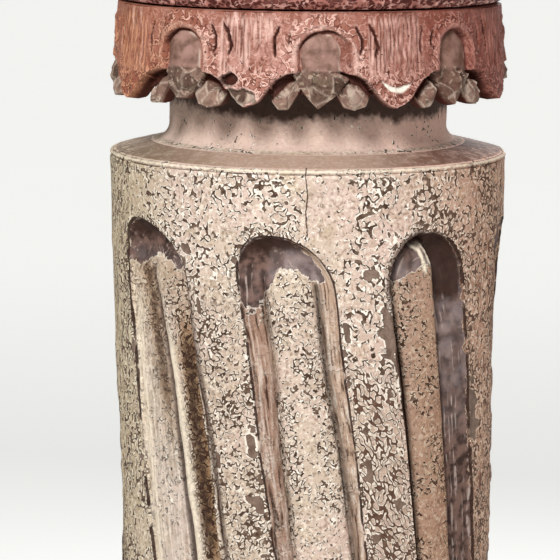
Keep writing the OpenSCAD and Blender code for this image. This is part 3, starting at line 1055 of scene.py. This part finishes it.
def gouges_and_veins(columns, height, plain, lattice):
    """Depth of the gouges beside the hollows and of the veins between the leaves."""
    side = columns.side
    cuts = 0
    for index, gouge in enumerate(GOUGES):
        across, levels = zip(*gouge)
        low, high = levels[0], levels[-1]
        line = np.interp(height, levels, across)
        ends = smooth(low - 1, low + 4, height) * smooth(high + 1, high - 4, height)
        uneven = np.stack([0 * side + index * 9.0, columns.leaf * 17.0, 0 * side], axis=-1)
        strength = smooth(-0.9, 0.1, lattice(uneven, 1.7)) + 0.3
        cuts = cuts + 1.9 * strength * ends * bell(side + 0.6 * lattice(plain, 5), line, 1.5)
    veins = 0
    for place in VEINS:
        sway = 1.2 * lattice(plain * [1, 1, 0.5] + place, 12)
        fades = smooth(-0.7, 0.3, lattice(plain + 50 + place, 13))
        veins = veins + bell(columns.away + sway, place, 1.5) * fades
    return cuts + 0.9 * (veins * smooth(16, 24, height) * smooth(56, 44, height))


class CollarFace:
    """The carved face of the collar: how deep each place is cut, and what is carved there."""

    def __init__(self, columns, height):
        self.lattice = Lattice(15)
        self.columns = columns
        self.height = height
        self.plain = around(columns.azimuth, SHOULDER_R, height)
        self.side, self.leaf = np.broadcast_arrays(columns.side, columns.leaf, height)[:2]
        wavering = self.side + 1.2 * self.noise(6)
        sticks_out, self.tone, self.ridge = facets(wavering, height, self.leaf)
        self.crumple = 0.5 * np.abs(self.lattice(self.plain + 70, 3.6)) - sticks_out
        self.front = smooth(-0.4, 0.6, height - columns.petal)
        self.carve_hollow()
        self.carve_lobes()
        self.carve_kite()
        self.break_off()
        self.cut_slits()

    def noise(self, size):
        return self.lattice(self.plain, size)

    def carve_hollow(self):
        """Arched hollow with a tongue in it and a lip round it, and the cuts beside it."""
        height = self.height
        self.above = np.maximum(height - HOLLOW_CENTRE, 0)
        broad = np.where(self.leaf == LEFT_LEAF, 1.1, 1)
        arch = np.hypot(self.side / broad, self.above) + 0.8 * self.noise(7)
        self.tongue = arch + 0.5 * self.lattice(self.plain + 40, 5)
        wider = np.where(self.leaf == FRONT_LEAF, 5.5, 1.5) * smooth(-2, 12, self.side)
        self.arch = arch - wider * smooth(18, 6, self.above)
        self.legs = smooth(18, 22, height)
        self.in_hollow = smooth(HOLLOW_HALF + 0.5, HOLLOW_HALF - 0.5, self.arch) * self.legs
        self.on_tongue = smooth(TONGUE_HALF + 0.7, TONGUE_HALF - 1.4, self.tongue) * self.legs
        self.lip = bell(self.arch, HOLLOW_HALF + 2.4, 2.6) * (1 - self.in_hollow) * self.legs
        self.lip = self.lip * (0.4 + smooth(-0.5, 0.5, self.noise(4)))
        self.cuts = gouges_and_veins(self.columns, height, self.plain, self.lattice) * self.front
        self.cuts = self.cuts * smooth(HOLLOW_HALF, HOLLOW_HALF + 3, self.arch)
        raised = self.on_tongue * (1.9 + 1.6 * smooth(12, 0, self.tongue))
        self.depth = self.in_hollow * (4.4 - raised) - 0.8 * self.lip + self.cuts

    def carve_lobes(self):
        """Two bare lobes below the petals, in front of a dark cavity."""
        self.lobes = np.maximum(pyramid(self.side, self.height, LOBE_LEFT, (-19.5, 8)),
                                pyramid(self.side, self.height, LOBE_RIGHT, (20, 7)))
        on_lobe = smooth(-0.04, 0.06, self.lobes)
        lobe_depth = 4.6 - 2.2 * np.clip(1.6 * self.lobes, 0, 1) + 0.7 * self.crumple
        self.depth = blend(self.front, blend(on_lobe, 9, lobe_depth), self.depth)
        self.on_lobe = (1 - self.front) * on_lobe
        self.cavity = (1 - self.front) * (1 - on_lobe)

    def carve_kite(self):
        """The faceted tip, whose upper corner runs on into the tongue."""
        whole = pyramid(self.side, self.height, KITE, (0.5, 14.5))
        short = pyramid(self.side, self.height, SHORT_KITE, (1, 15))
        kite = np.where(self.leaf == LEFT_LEAF, short, whole)
        self.on_kite = smooth(-0.03, 0.05, kite)
        self.joins = self.on_tongue * smooth(20, 23, self.height)
        kite_depth = 4.4 - 5.4 * np.clip(kite, 0, 1) + self.crumple
        kite_depth = kite_depth - self.joins * np.maximum(kite_depth - self.depth, 0)
        self.depth = blend(self.on_kite, self.depth, kite_depth)

    def break_off(self):
        """Broken places, with a torn edge, and the chip that shows white chalk."""
        self.chalk = self.broken = self.torn = np.zeros_like(self.depth)
        ragged = 0.3 * self.noise(3.4)
        for at, level, half_w, half_h, deep, white in COLLAR_DAMAGE:
            across = np.radians((self.columns.azimuth - at + 180) % 360 - 180) * SHOULDER_R
            sag = level + 0.045 * across ** 2 * white
            reach = np.hypot(across / half_w, (self.height - sag) / half_h) + ragged
            hit = smooth(1.08, 0.9, reach)
            self.depth = self.depth + (deep + 0.8 * self.crumple * (1 - white)) * hit
            self.torn = np.maximum(self.torn, bell(reach, 1.12, 0.22) * (1 - white))
            self.broken = np.maximum(self.broken, hit * (1 - white))
            self.chalk = np.maximum(self.chalk, hit * white)

    def cut_slits(self):
        on_leaf = self.leaf == RIGHT_LEAF
        self.slit, self.slit_edge = (
            on_leaf * highest(*[bell(to_line(self.side, self.height, line), 0, half) for line in lines])
            for lines, half in ((SLITS, 1.7), (SLIT_EDGES, 1.2)))
        self.depth = self.depth + 3.5 * self.slit

    def relief(self):
        broad = self.lattice.layered(self.plain * [1, 1, 0.7], 9, 3)
        return 0.45 * broad + 0.3 * self.lattice.layered(self.plain, 3.2, 2)

    def dirt_and_shade(self):
        """Painted shade in every hollow, cavity, cut, broken hole and slit, and under the top of each
        arch.
        """
        height = self.height
        under_arch = bell(self.arch, HOLLOW_HALF - 0.5, 1.5) * smooth(22, 30, height)
        under_arch = under_arch * (0.35 + 0.65 * smooth(3, 10, self.above - 0.25 * self.side))
        under_arch = under_arch * (0.75 + 0.5 * self.noise(6))
        beside_tongue = 0.42 * self.in_hollow * (1 - self.on_tongue)
        in_cuts = np.clip(0.62 * self.cuts, 0, 0.9)
        hole = self.broken * smooth(12.5, 14.5, height + self.noise(5)) * 0.9
        around_kite = highest(self.cavity, under_arch, beside_tongue, in_cuts) * (1 - self.on_kite)
        return np.clip(highest(around_kite, hole, self.slit), 0, 1)

    def pale(self, bare):
        """Where edges of paint and wood are painted pale: rubbed paint, and a painted highlight on the
        edges that catch light.
        """
        height, off_kite = self.height, 1 - self.on_kite
        beside_cuts = 0.8 * bell(self.cuts, 0.35, 0.35) * (self.cuts > 0.02)
        beside_cuts = np.clip(beside_cuts + 0.5 * self.lip, 0, 1) * (1 - bare)
        petal_edge = 0.65 * bell(height - self.columns.petal, 0.9, 0.9) * off_kite * (1 - self.in_hollow)
        facet_edges = highest(self.on_kite, self.on_lobe) * self.ridge * 0.55
        broken_edges = 0.7 * self.broken * self.ridge ** 2
        tongue_edge = 0.7 * bell(self.tongue, TONGUE_HALF - 0.6, 1.0) * (self.side > 3)
        tongue_edge = tongue_edge * self.in_hollow * off_kite * smooth(-0.3, 0.3, self.noise(5))
        lobe_foot = 0.8 * self.on_lobe * smooth(0.16, 0.02, self.lobes) * smooth(7, 1, height)
        pale = highest(beside_cuts, petal_edge, facet_edges, broken_edges, self.torn, tongue_edge,
                       lobe_foot)
        return np.maximum(pale * (1 - self.slit), 0.85 * self.slit_edge)

    def numbers(self):
        bare = highest(self.in_hollow * self.on_tongue, self.on_kite, self.on_lobe, self.broken)
        green_kite = self.on_kite * (1 - 0.8 * self.joins)
        crust = np.maximum(smooth(34, 14, self.height) * self.front,
                           bell(self.arch, HOLLOW_HALF + 5, 12) * self.legs)
        between_leaves = smooth(27, 35, self.columns.away) * smooth(17, 30, self.height)
        return {"bare": bare, "dirt_and_shade": self.dirt_and_shade(), "chalk": self.chalk,
                "crust": np.maximum(crust, 0.35) * (1 - bare),
                "green": highest(green_kite, 0.75 * self.on_lobe, self.broken),
                "rubbed_and_highlit": self.pale(bare), "tone": self.tone * (1 - 0.7 * self.broken),
                "comb": between_leaves * (1 - bare)}


def make_collar():
    columns = CollarColumns(840)
    azimuth = columns.azimuth
    hem = columns.hem()
    height = hem + (COLLAR_H - 0.9 - hem) * np.linspace(1, 0, 74)[:, None]
    face = CollarFace(columns, height)
    numbers = face.numbers()
    radius = collar_plain(height) - (face.depth - face.relief() * (1 - 0.5 * numbers["bare"]))
    hem_r = radius[-1:]
    soffit_edge_r, soffit_rise = 104, 14
    thick = np.minimum(7.0, hem_r - soffit_edge_r)
    top = [around(azimuth, 60, COLLAR_TOP), around(azimuth, COLLAR_TOP_R - 1.6, COLLAR_TOP),
           around(azimuth, COLLAR_TOP_R - 0.5, COLLAR_TOP - 0.35)]
    inside = [around(azimuth, hem_r - thick * 0.35, HEM_Z + np.maximum(hem - 0.3, 0)),
              around(azimuth, hem_r - thick, HEM_Z + hem + 0.4),
              around(azimuth, soffit_edge_r, HEM_Z + soffit_rise - 0.4),
              around(azimuth, 92, HEM_Z + soffit_rise), around(azimuth, 40, HEM_Z + soffit_rise)]
    outside = around(azimuth, radius, HEM_Z + height)
    # The underside of the collar is painted fully dark as shade
    rows, numbers = stacked([(np.concatenate(top), {}), (outside, numbers),
                             (np.concatenate(inside), {"dirt_and_shade": 1.0})])
    mesh = ring_mesh("leaf_collar_carved", rows, numbers, sharp=38)
    add_piece(mesh, "leaf_collar", [salmon_paint("salmon_carved")])


# ---------------------------------------------------------------- capital and base

def roll(centre_r, low_z, high_z, radius, count):
    """Outline of a round roll between two heights, from its top to its bottom."""
    middle = (low_z + high_z) / 2
    reach = math.degrees(math.asin(min(1, (high_z - low_z) / 2 / radius)))
    return arc(centre_r, middle, radius, reach, -reach, count)


def turned(name, parts, columns, lattice):
    """Turned piece from parts of [outline, step, finish index, ropes of thick paint]."""
    walked = [walk(outline, step) for outline, step, _, _ in parts]
    radius, height = (column[:, None] for column in np.concatenate(walked).T)
    slots = np.concatenate([np.full(len(each), part[2]) for each, part in zip(walked, parts)])
    rope = np.concatenate([np.full((len(each), 1), part[3]) for each, part in zip(walked, parts)])
    azimuth = (np.arange(columns) * 360 / columns)[None, :]
    surface = around(azimuth, radius, height)
    curls = np.stack([lattice(surface + shift, 4) for shift in (10, 20, 30)], axis=-1)
    high = smooth(-0.35, 0.3, lattice(surface + 1.6 * curls, 3.6))
    relief = 0.3 * lattice.layered(surface, 15, 3) + rope * (high - 0.6) * 1.1
    points = around(azimuth, np.minimum(radius + relief, radius + 0.6), height)
    numbers = {"high": high, "wear": 0.2 * lattice(surface, 30)}
    return ring_mesh(name, points, numbers, slots[:-1])


CREAM, DARK_RED, SALMON, JOINT = range(4)


def make_capital():
    low, top, cove = COLLAR_TOP, CAPITAL_TOP, 44
    parts = [
        ([(100, top), (151, top)], 8, CREAM, 0),
        ([(151.6, top - 0.6), (151.8, top - 9.4), (151, top - 10)], 1.6, SALMON, 0),
        ([(150.2, top - 10)] + arc(152, top - 10 - cove, cove, 92, 180, 30), 2.0, CREAM, 0),
        ([(113, low + 44), (113, low + 36.5)], 1.6, SALMON, 0),
        (roll(98.6, low + 2.0, low + 36, 23.8, 40), 1.4, DARK_RED, 1),
        ([(113.5, low + 1.2), (109.5, low + 0.9), (109, low)], 0.8, JOINT, 0),
        ([(100, low), (60, low)], 14, DARK_RED, 0),
    ]
    finishes = [cream_paint("cream_capital"), dark_red_paint("dark_red_roll"),
                salmon_plain("salmon_fillet"), deep_grime("grime_joint")]
    add_piece(turned("capital_turned", parts, 600, Lattice(21)), "capital", finishes)


def make_base():
    low, top = PLINTH_TOP, BASE_TOP
    parts = [
        ([(60, top), (107.4, top)], 12, CREAM, 0),
        ([(108, top - 0.6), (108, top - 12)], 1.8, CREAM, 0),
        (roll(112, low + 100, low + 128, 14, 20), 2.0, DARK_RED, 0.8),
        ([(124, low + 99.6), (124, low + 92)], 1.8, SALMON, 0),
        (arc(130, low + 76, 16, 90, 270, 24), 2.2, CREAM, 0),
        ([(134, low + 60), (134, low + 52.4)], 1.8, SALMON, 0),
        (roll(122, low, low + 52, 26, 34), 2.2, DARK_RED, 0.8),
        ([(121, low), (60, low)], 15, DARK_RED, 0),
    ]
    finishes = [cream_paint("cream_base"), dark_red_paint("dark_red_base"), salmon_plain("salmon_base")]
    add_piece(turned("base_turned", parts, 420, Lattice(22)), "base", finishes)


# ---------------------------------------------------------------- plinth and abacus

def block_mesh(name, half, low, high, outline, lattice):
    """Square block from an outline of [half side, height] corners, with worn, softened edges."""
    per_side = 72
    along = np.arange(per_side) / per_side * 2 - 1
    ones = np.ones(per_side)
    sides = ((along, -ones), (ones, along), (-along, ones), (-ones, -along))
    square = np.concatenate([np.stack(each, axis=-1) for each in sides])
    to_corner = np.linalg.norm(square, axis=-1)
    walked = walk(outline, 4)
    reach = walked[:, :1]
    pull = 1 - smooth(1.30, 1.414, to_corner) * 0.012
    rows = square * reach[..., None] * pull[:, None]
    heights = np.broadcast_to(walked[:, 1:], rows.shape[:2])
    points = np.concatenate([rows, heights[..., None]], axis=-1)
    at_edge = np.maximum(bell(heights, high, 9), bell(heights, low, 9)) * (reach > half - 12)
    edge = np.maximum(at_edge, smooth(1.3, 1.41, to_corner) * (reach > half - 14))
    nick = edge * smooth(0.25, 0.75, lattice(points, 16)) * 2.2 + 0.5 * lattice.layered(points, 30, 3)
    nick = np.clip(nick, 0, 3) * (reach > half - 12)
    points[..., :2] -= square / to_corner[:, None] * nick[..., None]
    numbers = {"wear": 0.8 * edge + 0.2 * lattice(points, 30),
               "bare": 0.5 * smooth(0.6, 0.9, lattice(points, 40))}
    return ring_mesh(name, points, numbers, sharp=35)


def make_plinth():
    half, low, high, step = PLINTH_SIDE / 2, PLINTH_LOW, PLINTH_TOP, 7
    outline = [(8, high), (half - step - 1, high), (half - step, high - 1), (half - step, high - step),
               (half - 1, high - step), (half, high - step - 1.2), (half, low + 1), (half - 1, low),
               (8, low)]
    mesh = block_mesh("plinth_block", half, low, high, outline, Lattice(31))
    add_piece(mesh, "plinth", [cream_paint("cream_plinth")])


def make_abacus():
    half, low, high, step = ABACUS_SIDE / 2, CAPITAL_TOP, ABACUS_TOP, 8
    outline = [(8, high), (half - 1, high), (half, high - 1.2), (half, low + step + 1),
               (half - 1, low + step), (half - step, low + step), (half - step, low + 1),
               (half - step - 1, low), (8, low)]
    mesh = block_mesh("abacus_board", half, low, high, outline, Lattice(32))
    add_piece(mesh, "abacus", [cream_paint("cream_abacus")])


# ---------------------------------------------------------------- stage, light, camera

def make_stage():
    """Pale floor that keeps the column's shadow, and pale air behind it."""
    reach = 60
    mesh = bpy.data.meshes.new("floor")
    mesh.from_pydata([(-reach, -reach, 0), (reach, -reach, 0), (reach, reach, 0), (-reach, reach, 0)],
                     [], [(0, 1, 2, 3)])
    floor = add_object("floor", mesh)
    f = Finish("floor_matte", 0.9)
    colour = f.mix(f.noise(900, 2), (226, 226, 224), (232, 232, 230))
    mesh.materials.append(f.finish(colour, f.noise(40, 2), 0.02))
    x, y = f.coordinate("X"), f.coordinate("Y")
    away = f.math("SQRT", x * x + y * y)
    glow = f.unlit_white(1) * away.rise(2000, 9000, 0.5, 0.785)
    f.shader.inputs["Emission Color"].default_value = srgb(236, 236, 234)
    f.link(glow, f.shader.inputs["Emission Strength"])

    sky_light = 0.3
    world = bpy.data.worlds.new("studio")
    bpy.context.scene.world = world
    world.use_nodes = True
    nodes = Nodes(world.node_tree)
    sky = world.node_tree.nodes["Background"]
    sky.inputs["Color"].default_value = srgb(240, 240, 238)
    nodes.link(nodes.unlit_white(1 - sky_light) + sky_light, sky.inputs["Strength"])


def add_lamp(name, place, drop, size, watts):
    """Round soft lamp at a place measured from the shoulder, aimed a drop below the shoulder."""
    data = bpy.data.lights.new(name, "AREA")
    data.shape = "DISK"
    data.size = size
    data.energy = watts
    lamp = add_object(name, data)
    shoulder = Vector((0, 0, SHOULDER_Z * MM))
    lamp.location = shoulder + Vector(place)
    aim = shoulder - Vector((0, 0, drop))
    lamp.rotation_euler = (aim - lamp.location).to_track_quat("-Z", "Y").to_euler()


def make_lights():
    add_lamp("key", (-0.9, -3.2, 2.1), 0.2, 1.1, 143)
    add_lamp("fill", (2.8, -2.6, 0.6), 0.3, 2.4, 22)
    add_lamp("back", (0.6, 3.4, 1.6), 0.3, 2.4, 90)


def make_camera():
    """Camera a little above the shoulder, turned slightly left, tilted down and rolled."""
    distance, rise = 1.8181, 0.1961
    pitch, yaw, tilt = math.radians(-8.64), math.radians(0.515), math.radians(0.435)
    data = bpy.data.cameras.new("camera")
    data.sensor_width = 36
    data.lens = 192.9
    camera = add_object("camera", data)
    place = Matrix.Translation((0, -distance, SHOULDER_Z * MM + rise))
    turn = Matrix.Rotation(yaw, 4, "Z") @ Matrix.Rotation(math.pi / 2 + pitch, 4, "X")
    camera.matrix_world = place @ turn @ Matrix.Rotation(tilt, 4, "Z")
    bpy.context.scene.camera = camera


make_shaft()
make_collar()
make_capital()
make_base()
make_plinth()
make_abacus()
make_stage()
make_lights()
make_camera()
bpy.context.scene.view_settings.view_transform = "Standard"
